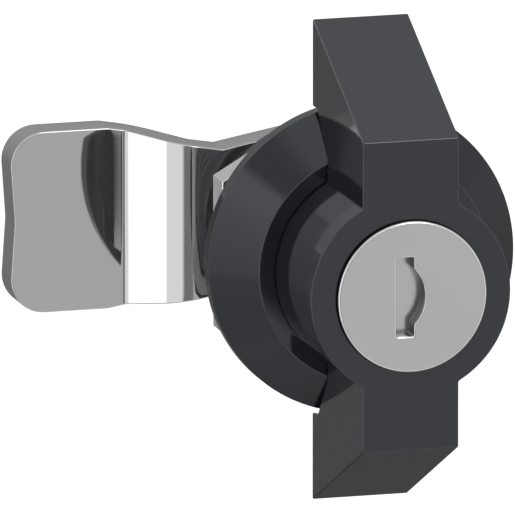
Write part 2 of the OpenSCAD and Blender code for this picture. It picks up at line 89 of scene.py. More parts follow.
# %% The camera
AZIMUTH, ELEVATION = np.radians(-15.78), np.radians(12.73)
LENS, SENSOR = 1600.0, 36.0
PICTURE_WIDTH = 51.57
DISC_MIDDLE, PICTURE_SHIFT = np.array([0, -20.4, 0]), (-15.557, 3.962)
NEAR_CLIP, FAR_CLIP = 0.1, 20
RIGHT = np.array([np.cos(AZIMUTH), np.sin(AZIMUTH), 0])
BACK = np.array([np.sin(AZIMUTH) * np.cos(ELEVATION), -np.cos(AZIMUTH) * np.cos(ELEVATION),
                 np.sin(ELEVATION)])
UP = np.cross(BACK, RIGHT)
LOOKED_AT = DISC_MIDDLE + PICTURE_SHIFT[0] * RIGHT + PICTURE_SHIFT[1] * UP


def add_camera():
    """A long lens whose picture is PICTURE_WIDTH wide at the point looked at.
    Its distance is width * lens / sensor."""
    distance = PICTURE_WIDTH * LENS / SENSOR
    camera = bpy.data.objects.new("camera", bpy.data.cameras.new("camera"))
    camera.data.lens, camera.data.sensor_width = LENS, SENSOR
    camera.data.clip_start, camera.data.clip_end = NEAR_CLIP, FAR_CLIP
    camera.location = (LOOKED_AT + distance * BACK) * MM
    camera.rotation_mode = "QUATERNION"
    camera.rotation_quaternion = Vector(-BACK).to_track_quat("-Z", "Y")
    bpy.context.scene.collection.objects.link(camera)
    bpy.context.scene.camera = camera
    return distance


print("camera distance in mm:", round(add_camera()))

# %% [markdown]
# ## Surfaces from arrays
# Each new piece is a set of grids. A grid is an array of points in rows and columns, worked out as a
# whole, and neighbours in it become the corners of a face. Where two grids share a line they give
# the same points, so merging points that coincide closes the piece.


# %% A piece from its grids
MERGE_WITHIN = 0.0008 * MM
SHARP_ANGLE, FLAT_FACE_WEIGHT = 32, 90


def grid_faces(rows, columns, first):
    """Corner numbers of the faces between neighbours: i, i + 1, i + 1 + columns, i + columns."""
    i = (np.arange(rows - 1)[:, None] * columns + np.arange(columns - 1)).ravel() + first
    return np.stack([i, i + 1, i + 1 + columns, i + columns], axis=1)


def grid_mesh(name, grids):
    """One mesh with the points of all the grids, given in millimetres, and their faces."""
    points = np.concatenate([g.reshape(-1, 3) for g in grids]) * MM
    starts = np.cumsum([0] + [g.shape[0] * g.shape[1] for g in grids])
    faces = [grid_faces(g.shape[0], g.shape[1], start) for g, start in zip(grids, starts)]
    mesh = bpy.data.meshes.new(name)
    mesh.from_pydata(points, [], np.concatenate(faces))
    return mesh


def weld(mesh):
    """Merges points that coincide, turns the faces outwards and counts the edges left open."""
    work = bmesh.new()
    work.from_mesh(mesh)
    bmesh.ops.remove_doubles(work, verts=work.verts, dist=MERGE_WITHIN)
    bmesh.ops.dissolve_degenerate(work, edges=work.edges, dist=MERGE_WITHIN)
    bmesh.ops.recalc_face_normals(work, faces=work.faces)
    work.to_mesh(mesh)
    still_open = sum(not edge.is_manifold for edge in work.edges)
    work.free()
    return still_open


def add_object(name, mesh):
    """A new object at the origin, linked to the scene."""
    made = bpy.data.objects.new(name, mesh)
    bpy.context.scene.collection.objects.link(made)
    return made


def shade(made):
    """Soft shading, with the edges that turn more than SHARP_ANGLE kept sharp and flat faces kept flat."""
    made.data.polygons.foreach_set("use_smooth", np.ones(len(made.data.polygons), bool))
    made.data.set_sharp_from_angle(angle=np.radians(SHARP_ANGLE))
    weighted = made.modifiers.new("flat_faces_stay_flat", "WEIGHTED_NORMAL")
    weighted.weight, weighted.keep_sharp = FLAT_FACE_WEIGHT, True


def piece(name, grids, body, slot, stands_for):
    """One closed mesh from grids of points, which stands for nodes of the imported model."""
    mesh = grid_mesh(name, grids)
    still_open = weld(mesh)
    made = add_object(name, mesh)
    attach(made, body)
    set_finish(made, slot)
    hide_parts(*stands_for)
    shade(made)
    print(f"{name}: {len(mesh.polygons)} faces, open edges {still_open}")
    return made


# %% [markdown]
# Moulded and stamped edges are never sharp: a small ball could roll along them. So each edge is the
# path of that ball. Its centre keeps one radius of distance inside both faces, and the surface is
# the centre plus the radius times a direction that turns from one face's normal to the other's.


# %% Rounded edges and outlines
FRONT = np.array([0.0, -1.0, 0.0])
REAR = -FRONT
SUPPORT = 0.04
COINCIDE, ALMOST_ONE = 1e-6, 0.999999


def in_plane(angles):
    """Unit directions in the XZ plane at angles from X towards Z: (cos a, 0, sin a)."""
    return np.stack([np.cos(angles), 0 * angles, np.sin(angles)], axis=-1)


def rolled(centres, start, end, radius, steps=6):
    """Rows of a rounded edge: centre + radius * (sin((1 - t) w) start + sin(t w) end) / sin w.
    The angle w lies between the two directions."""
    start, end = np.broadcast_to(start, centres.shape), np.broadcast_to(end, centres.shape)
    w = np.arccos(np.clip((start * end).sum(-1, keepdims=True), -ALMOST_ONE, ALMOST_ONE))
    t = np.linspace(0, 1, steps + 1)[:, None, None]
    return centres + radius * (np.sin((1 - t) * w) * start + np.sin(t * w) * end) / np.sin(w)


def inset(centres, normals, amount):
    """The outline moved inwards: centre - amount * mitre. Where centres coincide, at a corner, the
    mitre is the mean normal divided by the cosine of half the corner, so that the moved outline
    doesn't cross itself."""
    same = np.linalg.norm(centres[:, None] - centres[None], axis=-1) < COINCIDE
    mean = same @ normals
    mean = mean / np.linalg.norm(mean, axis=1, keepdims=True)
    spread = np.where(same, mean @ normals.T, 1).min(axis=1)
    return centres - amount * mean / spread[:, None]


def line(start, end, count):
    """Points from start to end, evenly spaced."""
    t = np.linspace(0, 1, count)[:, None]
    return (1 - t) * np.asarray(start, float) + t * np.asarray(end, float)


def at_depth(points, y):
    """The same points moved to the given Y."""
    return points * [1, 0, 1] + [0, y, 0]


def all_round(quarter):
    """A quarter of an outline, from X to Z, mirrored into the whole closed loop."""
    return np.concatenate([quarter, (quarter * [-1, 1, 1])[::-1][1:], (quarter * [-1, 1, -1])[1:],
                           (quarter * [1, 1, -1])[::-1][1:]])


def rounded_profile(corners, steps=5):
    """A line through corners (radius, y, rounding), each rounded by the arc that touches both its sides.
    The arc starts rounding / tan(half the corner's angle) before the corner."""
    path = []
    for i, (r, y, rounding) in enumerate(corners):
        here = np.array([r, y])
        if rounding == 0 or i in (0, len(corners) - 1):
            path.append(here[None])
            continue
        a, b = np.array(corners[i - 1][:2]) - here, np.array(corners[i + 1][:2]) - here
        a, b = a / np.linalg.norm(a), b / np.linalg.norm(b)
        half = np.arccos(np.clip(a @ b, -1, 1)) / 2
        middle = here + rounding / np.sin(half) * (a + b) / np.linalg.norm(a + b)
        reach = rounding / np.tan(half)
        start, end = here + reach * a - middle, here + reach * b - middle
        w, t = np.pi - 2 * half, np.linspace(0, 1, steps + 1)[:, None]
        path.append(middle + (np.sin((1 - t) * w) * start + np.sin(t * w) * end) / np.sin(w))
    return np.concatenate(path)


def turned(profile, angles):
    """The profile (radius, y) carried round Y: x = r cos a, z = r sin a, one row for each profile point."""
    r, y = profile[:, 0, None], profile[:, 1, None]
    return np.stack([r * np.cos(angles), y + 0 * angles, r * np.sin(angles)], axis=-1)


def ring_rows(rows, angles):
    """Rows of points from pairs of radius and Y, each one number or one for every angle."""
    return np.stack([np.stack([r * np.cos(angles), y + 0 * angles, r * np.sin(angles)], axis=-1)
                     for r, y in rows])


FULL_TURN = np.linspace(0, 2 * np.pi, 241)
print("columns in a full turn:", len(FULL_TURN) - 1)

# %% [markdown]
# Pieces that hide something, such as the slot for the locking bolt inside the handle, are finished
# by cutting blocks out of the closed skin. A Boolean modifier does that exactly, and its result is
# kept as the mesh.


# %% Cutting a block out of a piece
def block_grid(low, high):
    """A closed block: four side faces and two ends, as grids of its corners."""
    (x0, y0, z0), (x1, y1, z1) = low, high
    ring = np.array([[x0, z0], [x1, z0], [x1, z1], [x0, z1], [x0, z0]])
    ends = [np.stack([ring[:, 0], np.full(5, y), ring[:, 1]], axis=-1) for y in (y0, y1)]
    caps = [np.stack([e[[0, 1]], e[[3, 2]]]) for e in ends]
    return [np.stack(ends), *caps]


def carve(made, cutters):
    """Cuts each block, given by its lowest and highest corner in millimetres, out of the piece."""
    made.modifiers.clear()
    for low, high in cutters:
        cutter_mesh = grid_mesh("cutter", block_grid(low, high))
        weld(cutter_mesh)
        cutter = add_object("cutter", cutter_mesh)
        cut = made.modifiers.new("cut", "BOOLEAN")
        cut.operation, cut.object, cut.solver = "DIFFERENCE", cutter, "EXACT"
        bpy.context.view_layer.update()
        shown = made.evaluated_get(bpy.context.evaluated_depsgraph_get())
        result = bpy.data.meshes.new_from_object(shown)
        made.modifiers.clear()
        old = made.data
        made.data = result
        bpy.data.meshes.remove(old)
        bpy.data.objects.remove(cutter)
        bpy.data.meshes.remove(cutter_mesh)
    made.data.name = made.name
    shade(made)
    print(f"{made.name} after cutting: {len(made.data.polygons)} faces")


# %% [markdown]
# ## The handle
# The handle is one moulding: a round hub, and a wing across it whose two ends slope back towards the
# door. Behind the hub the wing is hollowed by a cone, so that it turns freely over the rosette. It
# could be a Boolean of a block and a cylinder with bevelled edges, but bevels fail where the wing
# meets the hub. Here the outline is written down instead: hub arc, small hollow corner, straight
# side, rounded corner, top. One ball rolls along all of it.

# %% The handle's measures
HANDLE_FRONT, WING_BACK = -19.75, -1.2
WING_HALF, WING_TOP_FRONT, WING_TOP_BACK = 5.0, 15.9, 24.9
HUB_R, HUB_BACK = 10.4, -6.8
EDGE_R, HOLLOW_R = 0.17, 0.3
MOUTH_R, RECESS_R, RECESS_Y = 12.3, 16.55, -3.0
SEAT_R, SEAT_Y, SEAT_LIP, SEAT_FACE_R = 7.79, -18.55, 0.04, 7.87
SLEEVE_R, SLEEVE_END = 7.25, -7.2
WEB_R, WEB_END = 3.6, 0.6
SOCKET_R, SOCKET_EDGE_R = 6.95, 0.2
SPIGOT_R, SPIGOT_END, SPIGOT_EDGE_R = 8.5, 4.2, 0.3
MID_FACE_R = 9.0
BOLT_SLOT = ((-3.05, -5.1, -4.3), (3.05, -2.3, 9.5))
SIDE_POINTS, CORNER_POINTS = 7, 6
HUB_POINTS, HOLLOW_POINTS, FOOT_POINTS = 36, 7, 4
SLOPE = np.arctan((WING_TOP_BACK - WING_TOP_FRONT) / (WING_BACK - HANDLE_FRONT))
print("slope of the wing's ends in degrees:", round(np.degrees(SLOPE), 1))


def recess_radius(y):
    """Radius of the hollow behind the hub: a cone from its mouth, then straight."""
    return np.interp(y, [HUB_BACK, RECESS_Y], [MOUTH_R, RECESS_R])


def top_centre(y):
    """Height of the ball's centre, one radius inside the sloping end: line - radius / cos(slope)."""
    return WING_TOP_FRONT + (y - HANDLE_FRONT) * np.tan(SLOPE) - EDGE_R / np.cos(SLOPE)


def wing_foot(y):
    """Height at which the wing's side meets the ball that rounds its edge to the hollow."""
    return np.sqrt((recess_radius(y) + EDGE_R) ** 2 - (WING_HALF - EDGE_R) ** 2)


def wing_end(y, foot):
    """Ball centres and directions up from the side's foot, round the corner and to the top's middle."""
    x, top = WING_HALF - EDGE_R, top_centre(y)
    side, above = np.array([1.0, 0, 0]), np.array([0, -np.sin(SLOPE), np.cos(SLOPE)])
    turn = np.linspace(0, np.pi / 2, CORNER_POINTS)[:, None]
    centres = np.concatenate([line([x, y, foot], [x, y, top], SIDE_POINTS),
                              np.tile([x, y, top], (CORNER_POINTS, 1)),
                              line([x, y, top], [0, y, top], SIDE_POINTS)[1:]])
    normals = np.concatenate([np.tile(side, (SIDE_POINTS, 1)), np.cos(turn) * side + np.sin(turn) * above,
                              np.tile(above, (SIDE_POINTS - 1, 1))])
    return centres, normals


def hub_side(y):
    """Ball centres and directions along the hub, round the hollow corner and up the side to the foot."""
    hollow_x = WING_HALF + HOLLOW_R
    hollow = np.array([hollow_x, np.sqrt((HUB_R + HOLLOW_R) ** 2 - hollow_x ** 2)])
    meets = np.arctan2(hollow[1], hollow[0])
    hub = in_plane(np.linspace(0, meets, HUB_POINTS))
    corner = in_plane(np.linspace(meets, 0, HOLLOW_POINTS)[1:])
    middle = np.array([hollow[0], 0, hollow[1]])
    x = WING_HALF - EDGE_R
    centres = np.concatenate([at_depth(hub * (HUB_R - EDGE_R), y),
                              at_depth(middle - (HOLLOW_R + EDGE_R) * corner, y),
                              line([x, y, hollow[1]], [x, y, wing_foot(HUB_BACK)], FOOT_POINTS)[1:]])
    return centres, np.concatenate([hub, corner, np.tile([1.0, 0, 0], (FOOT_POINTS - 1, 1))])


def wing_hollow(y, columns):
    """Ball centres and directions round the edge to the hollow and along it to the middle."""
    r, foot = recess_radius(y), wing_foot(y)
    centre = np.array([WING_HALF - EDGE_R, y, foot])
    meets = np.arctan2(foot, WING_HALF - EDGE_R)
    corner = in_plane(np.linspace(0, meets - np.pi, CORNER_POINTS))
    along = in_plane(np.linspace(meets, np.pi / 2, columns - CORNER_POINTS + 1)[1:])
    return (np.concatenate([np.tile(centre, (CORNER_POINTS, 1)), at_depth(along * (r + EDGE_R), y)]),
            np.concatenate([corner, -along]))


# %% The handle's skin
def mirrored(half, sign):
    """Half of a leg's loop and its mirror image, as one row from the right foot to the left one."""
    half = half * [1, 1, sign]
    return np.concatenate([half, (half * [-1, 1, 1])[::-1][1:]])


def handle_outline(y):
    """Ball centres and directions round the hub and the wing, as one closed loop."""
    (c0, n0), (c1, n1) = hub_side(y), wing_end(y, wing_foot(HUB_BACK))
    return all_round(np.concatenate([c0, c1[1:]])), all_round(np.concatenate([n0, n1[1:]]))


def handle_grids():
    """Front face, outer wall, both legs and the bored inside, with shared lines between them."""
    front, normals = handle_outline(HANDLE_FRONT + EDGE_R)
    back, _ = handle_outline(HUB_BACK)
    edge = rolled(front, FRONT, normals, EDGE_R)
    wall = np.concatenate([edge, (back + EDGE_R * normals)[None]])
    angles = np.arctan2(front[:, 2], front[:, 0])
    profile = [(MID_FACE_R, HANDLE_FRONT, 0), (SEAT_R, HANDLE_FRONT, SEAT_LIP), (SEAT_R, SEAT_Y, 0),
               (SLEEVE_R, SEAT_Y, 0), (SLEEVE_R, SLEEVE_END, 0), (WEB_R, SLEEVE_END, 0),
               (WEB_R, WEB_END, 0), (SOCKET_R, WEB_END, 0), (SOCKET_R, SPIGOT_END, SOCKET_EDGE_R),
               (SPIGOT_R, SPIGOT_END, SPIGOT_EDGE_R), (SPIGOT_R, HUB_BACK, SPIGOT_EDGE_R),
               (MID_FACE_R, HUB_BACK, 0)]
    bore = turned(rounded_profile(profile)[1:-1], angles)

    count = 2 * SIDE_POINTS + CORNER_POINTS - 1
    side_line, side_normals = hub_side(HUB_BACK)
    hollow_line, hollow_normals = wing_hollow(HUB_BACK, count)
    quarter = np.concatenate([side_line + EDGE_R * side_normals,
                              (hollow_line + EDGE_R * hollow_normals)[1:]])
    under = np.stack([bore[-1], all_round(quarter)])
    face = np.stack([edge[0], at_depth(inset(front, normals, SUPPORT), HANDLE_FRONT),
                     at_depth(in_plane(angles) * (SEAT_FACE_R + SUPPORT), HANDLE_FRONT), bore[0]])

    grids = [face, wall, bore, under]
    for sign in (1, -1):
        rows = []
        for y in (HUB_BACK, RECESS_Y, WING_BACK - EDGE_R):
            (outer, outer_n), (inner, inner_n) = wing_end(y, wing_foot(y)), wing_hollow(y, count)
            loops = [np.concatenate([mirrored(o, sign), mirrored(i, sign)[::-1][1:]])
                     for o, i in ((outer, inner), (outer_n, inner_n))]
            rows.append(loops)
        walls = np.stack([c + EDGE_R * n for c, n in rows])
        centres, directions = rows[-1]
        rounded = rolled(centres, directions, REAR, EDGE_R)
        last = rounded[-1]
        grids += [walls, rounded, np.stack([last[:2 * count - 1], last[2 * count - 2:][::-1]])]
    return grids


handle = piece("handle_moulding", handle_grids(), "handle", "slate_plastic", stands_for=["handle"])
carve(handle, [BOLT_SLOT])

# %% [markdown]
# ## The rosette and its threaded shank
# The rosette is the fixed moulding: a flat front ring, a cone down to a short rim, and behind the
# door a shank with two flats and an M22 by 1.5 thread. All of it is one profile carried round the
# axis. Only the thread needs more: its rows climb along the helix, so that each row stays on a
# crest or a root, and its height is cut down to the root at both ends.

# %% The rosette's measures and its thread
ROSETTE_R, RING_R, ROSETTE_H, RIM_H = 16.0, 12.0, 6.4, 1.7
RIM_EDGE_R, BORE_EDGE_R = 0.2, 0.2
GROOVE_IN, GROOVE_OUT, GROOVE_Y = 12.3, 14.5, -1.0
BORE_R, JOURNAL_R, STEP_Y, JOURNAL_EDGE_R = 8.6, 5.6, 6.2, 0.25
THREAD_R, THREAD_DEPTH, PITCH, THREAD_RELIEF = 11.0, 0.85, 1.5, 0.9
SHANK_START, SHANK_END, FLAT_HALF, FLATS_FROM = 1.0, 15.65, 10.05, 0.5
ROWS_A_TURN, CREST, FLANK = 12, 1.45, 4
BOLT_POCKETS = [((-3.15, -5.2, 0), (3.15, -2.2, 10.3)), ((0, -5.2, -3.15), (10.3, -2.2, 3.15))]


def thread(start, end, outer, depth, angles, relief):
    """Rows of a thread between two places on Y. Row k lies at start + (k / rows + a / turn - 1) * pitch,
    held between start and end. Its height is CREST - FLANK * |share of a turn - 1/2|, held between 0
    at the root and 1 at the crest, and fades to the root within relief. A negative depth gives a nut's
    thread, whose grooves reach outwards. The rows begin a turn early and end past the far end, so that
    every column reaches both ends and the skin stays closed."""
    turns = int((end - start) / PITCH) + 3
    k = np.arange(-ROWS_A_TURN, turns * ROWS_A_TURN + 1)[:, None]
    y = np.clip(start + (k / ROWS_A_TURN + angles / (2 * np.pi) - 1) * PITCH, start, end)
    phase = (k % ROWS_A_TURN) / ROWS_A_TURN
    height = np.clip(CREST - FLANK * np.abs(phase - 0.5), 0, 1)
    fade = np.clip(np.minimum(y - start, end - y) / relief, 0, 1)
    shape = np.minimum(height, fade)
    r = outer - depth * (1 - shape if depth > 0 else shape)
    return np.stack([r * np.cos(angles), y, r * np.sin(angles)], axis=-1)


def flattened(points, start):
    """Points behind start held between the shank's two flats: z no further from the axis than the flats."""
    held = points.copy()
    behind = points[..., 1] >= start
    held[..., 2] = np.where(behind, np.clip(points[..., 2], -FLAT_HALF, FLAT_HALF), points[..., 2])
    return held


# %% The rosette's skin
def rosette_grids():
    """Front profile, thread and the bored inside, closed in one ring."""
    root = THREAD_R - THREAD_DEPTH
    before = rounded_profile([(MID_FACE_R, -ROSETTE_H, 0), (RING_R, -ROSETTE_H, EDGE_R),
                              (ROSETTE_R, -RIM_H, EDGE_R), (ROSETTE_R, 0, RIM_EDGE_R),
                              (GROOVE_OUT, 0, 0), (GROOVE_OUT, GROOVE_Y, 0), (GROOVE_IN, GROOVE_Y, 0),
                              (GROOVE_IN, 0, 0), (root, 0, 0), (root, SHANK_START, 0)])
    after = rounded_profile([(root, SHANK_END, 0), (JOURNAL_R, SHANK_END, JOURNAL_EDGE_R),
                             (JOURNAL_R, STEP_Y, 0), (BORE_R, STEP_Y, 0),
                             (BORE_R, -ROSETTE_H, BORE_EDGE_R), (MID_FACE_R, -ROSETTE_H, 0)])
    climb = thread(SHANK_START, SHANK_END, THREAD_R, THREAD_DEPTH, FULL_TURN, THREAD_RELIEF)
    rows = [turned(before, FULL_TURN), climb, turned(after, FULL_TURN)]
    return [flattened(grid, FLATS_FROM) for grid in rows]


rosette = piece("rosette_and_shank", rosette_grids(), "housing", "slate_plastic", stands_for=["housing"])
carve(rosette, BOLT_POCKETS)

# %% [markdown]
# ## The nut
# A thin hexagon nut, cut from plate, so its corners are not turned down: only its edges are broken.
# It could be a six-sided cylinder with a Bevel modifier. But the thread inside needs many columns
# and they should run straight across the faces, so the hexagon is given as a distance from the
# axis at each angle, and its corners are arcs.

# %% The nut's skin
NUT_HALF, NUT_FRONT, NUT_T, NUT_CORNER_R, NUT_BREAK = 13.5, 2.05, 3.5, 0.2, 0.07
THREAD_PLAY, THREAD_MOUTH, MOUTH_DEPTH = 0.12, 0.4, 0.3
NUT_GROOVE, NUT_RELIEF = 0.6, 0.01
CORNER_COLUMNS, SIDE_COLUMNS = 9, 34


def hexagon(half, angles, rounding):
    """Distance from the axis to a hexagon's side: half / cos(angle from the side's middle), and near a
    corner the far side of a circle of the given rounding:
    c cos(b) + root(rounding squared - (c sin b) squared)."""
    off = (angles + np.pi / 6) % (np.pi / 3) - np.pi / 6
    corner, beside = (half - rounding) / np.cos(np.pi / 6), np.pi / 6 - np.abs(off)
    across = corner * np.sin(beside)
    arc = corner * np.cos(beside) + np.sqrt(np.clip(rounding ** 2 - across ** 2, 0, None))
    return np.where(across < rounding / 2, arc, half / np.cos(off))


def hexagon_columns(half, rounding):
    """Angles for a hexagon's columns: close together round each corner, wide apart along the sides."""
    reach = np.arcsin(rounding / 2 / ((half - rounding) / np.cos(np.pi / 6)))
    corner = np.linspace(-reach, reach, CORNER_COLUMNS)
    side = np.linspace(reach, np.pi / 3 - reach, SIDE_COLUMNS)[1:-1]
    turns = (np.arange(6)[:, None] + 0.5) * np.pi / 3 + np.concatenate([corner, side])
    return np.append(turns.ravel(), turns[0, 0] + 2 * np.pi)


def hexagon_rows(half, rounding, edge, y0, y1, angles):
    """Rows of a hexagon bar from one face to the other, over both broken edges."""
    inner, outer = hexagon(half - edge, angles, rounding), hexagon(half, angles, rounding)
    return ring_rows([(inner - SUPPORT, y0), (inner, y0), (outer, y0 + edge), (outer, y1 - edge),
                      (inner, y1), (inner - SUPPORT, y1)], angles)


def nut_grids():
    """Inner thread, faces and the hexagon outside, closed in one ring."""
    end, play, mouth_r = NUT_FRONT + NUT_T, THREAD_R + THREAD_PLAY, THREAD_R + THREAD_MOUTH
    first, last = NUT_FRONT + MOUTH_DEPTH, end - MOUTH_DEPTH
    angles = hexagon_columns(NUT_HALF, NUT_CORNER_R)
    bore = thread(first, last, play, -NUT_GROOVE, angles, NUT_RELIEF)
    mouth = turned(np.array([[play, first], [mouth_r, NUT_FRONT]]), angles)
    outside = hexagon_rows(NUT_HALF, NUT_CORNER_R, NUT_BREAK, NUT_FRONT, end, angles)
    far_mouth = turned(np.array([[mouth_r, end], [play, last]]), angles)
    return [np.concatenate([mouth, outside, far_mouth]), bore]


piece("thin_nut", nut_grids(), "housing", "nut_steel", stands_for=["mounting_nut"])

# %% [markdown]
# ## The cam
# The cam is a steel plate, stamped out and cranked by two bends. The stamping is made flat first:
# its outline with rounded edges, front and back. Then every point is moved along Y by the bent
# plate's front and back curves, which depend on X alone. That keeps the edges' rounding through
# the bends, which a Simple Deform modifier would stretch.

# %% The cam's measures
CAM_FRONT, CAM_T, CRANK, BEND_X, BEND_R = 17.9, 3.95, 4.7, 18.0, 0.9
CAM_REACH, TIP_HALF, CORNER_R, TAPER_X, TAPER_R = 30.0, 9.4, 3.5, 19.8, 2.0
CAM_HUB_R, HUB_MEETS, NECK_HALF, NECK_X, NECK_R = 9.0, 80, 7.52, 9.0, 0.6
NOTCH, NOTCH_FROM, NOTCH_RUN = 0.4, 26, 4
CAM_EDGE_R, POINT_EVERY, CAM_ROWS = 0.13, 0.1, 25
TIP_POINTS, TAPER_POINTS, NECK_POINTS, CAM_HUB_POINTS = 13, 5, 7, 37
SQUARE_HOLE = ((-4.05, 17, -4.05), (4.05, 23, 4.05))
OUTER_R = BEND_R + CAM_T
HALF_BEND = np.tan(np.pi / 8)
FRONT_BEND = np.array([-BEND_X + CRANK + OUTER_R * HALF_BEND, CAM_FRONT + OUTER_R])
REAR_BEND = np.array([-BEND_X - BEND_R * HALF_BEND, CAM_FRONT + CRANK - BEND_R])
print("bends at x:", FRONT_BEND[0].round(2), REAR_BEND[0].round(2))


def bent(x, near_r, far_r, hub_y):
    """Y of a bent plate's surface over x: flat, arc of near_r, 45 degree slope, arc of far_r, flat."""
    root = np.sqrt(0.5)
    a, b = FRONT_BEND[0] - near_r * root, REAR_BEND[0] + far_r * root
    near = FRONT_BEND[1] - np.sqrt(np.clip(near_r ** 2 - (x - FRONT_BEND[0]) ** 2, 0, None))
    far = REAR_BEND[1] + np.sqrt(np.clip(far_r ** 2 - (x - REAR_BEND[0]) ** 2, 0, None))
    slope = FRONT_BEND[1] - near_r * root + (a - x)
    return np.select([x >= FRONT_BEND[0], x >= a, x >= b, x >= REAR_BEND[0]],
                     [hub_y + 0 * x, near, slope, far], hub_y + CRANK)


def crank(points):
    """Moves flat stamping points on to the bent plate: y = front + depth * (back - front) / thickness.
    The tip's end is notched by a shallow V, which fades within NOTCH_RUN."""
    x, depth = points[..., 0], points[..., 1] / CAM_T
    near_tip = np.clip((-x - NOTCH_FROM) / NOTCH_RUN, 0, 1)
    fade = near_tip * np.clip(1 - np.abs(points[..., 2]) / (TIP_HALF - CORNER_R), 0, 1)
    front = bent(x, OUTER_R, BEND_R, CAM_FRONT)
    back = bent(x, BEND_R, OUTER_R, CAM_FRONT + CAM_T)
    return np.stack([x + NOTCH * fade, front + depth * (back - front), points[..., 2]], axis=-1)


# %% The cam's skin
def corner_arc(corner, before, after, rounding, steps, hollow=False):
    """Ball centres and directions round one corner of a flat outline; hollow corners turn the other way."""
    n0, n1 = in_plane(np.radians(before)), in_plane(np.radians(after))
    turn = in_plane(np.radians(np.linspace(before, after, steps)))
    half = np.radians(abs(after - before)) / 2
    middle = n0 + n1
    middle = middle / np.linalg.norm(middle)
    out = rounding / np.cos(half)
    if hollow:
        return corner + out * middle - (rounding + CAM_EDGE_R) * turn, turn
    return corner - out * middle + (rounding - CAM_EDGE_R) * turn, turn


def cam_outline():
    """Ball centres and directions of the outline's upper half, from the tip's corner to the hub's end."""
    upper = np.degrees(np.arctan2(TAPER_X - NECK_X, TIP_HALF - NECK_HALF))
    meets = np.radians(HUB_MEETS)
    neck_end = np.array([-CAM_HUB_R * np.cos(meets), 0, CAM_HUB_R * np.sin(meets)])
    rise = np.degrees(np.arctan2(neck_end[2] - NECK_HALF, neck_end[0] + NECK_X))
    parts = [corner_arc(np.array([-CAM_REACH, 0, TIP_HALF]), 180, 90, CORNER_R, TIP_POINTS),
             corner_arc(np.array([-TAPER_X, 0, TIP_HALF]), 90, upper, TAPER_R, TAPER_POINTS),
             corner_arc(np.array([-NECK_X, 0, NECK_HALF]), upper, 90 + rise, NECK_R, NECK_POINTS,
                        hollow=True)]
    hub = in_plane(np.radians(np.linspace(90 + rise, 0, CAM_HUB_POINTS)))
    parts.append((hub * (CAM_HUB_R - CAM_EDGE_R), hub))
    centres, normals = [parts[0][0]], [parts[0][1]]
    for c, n in parts[1:]:
        gap = np.linalg.norm(c[0] - centres[-1][-1])
        count = max(int(gap / POINT_EVERY), 2)
        centres += [line(centres[-1][-1], c[0], count)[1:], c[1:]]
        normals += [line(normals[-1][-1], n[0], count)[1:], n[1:]]
    return np.concatenate(centres), np.concatenate(normals)


def cam_grids():
    """Front, back, rounded edges and wall of the flat stamping, moved on to the bent plate."""
    upper, upper_n = cam_outline()
    share = np.linspace(-1, 1, CAM_ROWS)[:, None, None]
    plane = upper * [1, 1, 0] + share * (upper * [0, 0, 1])
    tip = plane[:, 0]
    lower, lower_n = (upper * [1, 1, -1])[::-1], (upper_n * [1, 1, -1])[::-1]
    loop = np.concatenate([tip, upper[1:], lower[1:]])
    normals = np.concatenate([np.tile([-1.0, 0, 0], (len(tip), 1)), upper_n[1:], lower_n[1:]])
    near, far = at_depth(loop, CAM_EDGE_R), at_depth(loop, CAM_T - CAM_EDGE_R)
    edges = np.concatenate([rolled(near, FRONT, normals, CAM_EDGE_R),
                            rolled(far, normals, REAR, CAM_EDGE_R)])
    return [crank(g) for g in (at_depth(plane, 0), edges, at_depth(plane, CAM_T))]


cam = piece("cranked_cam", cam_grids(), "handle", "cam_steel", stands_for=["cam"])
carve(cam, [SQUARE_HOLE])

# %% [markdown]
# ## The disc over the key plug
# A satin steel disc with the keyhole punched through it: a slot with a shallow bulge on its right.
# A Boolean cut would leave razor edges. Instead each column of the grid is a ray from the middle of
# the slot: it runs down the keyhole's wall, over a small rounded edge, across the face and over
# the disc's rounded rim.

# %% The keyhole's outline
DISC_R, DISC_FRONT, DISC_T, DISC_EDGE_R, KEY_EDGE_R = 7.75, -20.4, 1.75, 0.25, 0.17
SLOT_LEFT, SLOT_RIGHT, SLOT_HALF = -1.7, 0.15, 4.05
BULGE_W, BULGE_HALF = 1.17, 2.85
BULGE_R = (BULGE_HALF ** 2 + BULGE_W ** 2) / (2 * BULGE_W)
BULGE_X = SLOT_RIGHT + BULGE_W - BULGE_R
SLOT_MIDDLE_TO_LEFT = (SLOT_RIGHT - SLOT_LEFT) / 2
LEFT_POINTS, TURN_POINTS, TOP_POINTS, BULGE_POINTS, BULGE_GAP = 24, 5, 9, 26, 2
KEY_EDGE_STEPS = 4


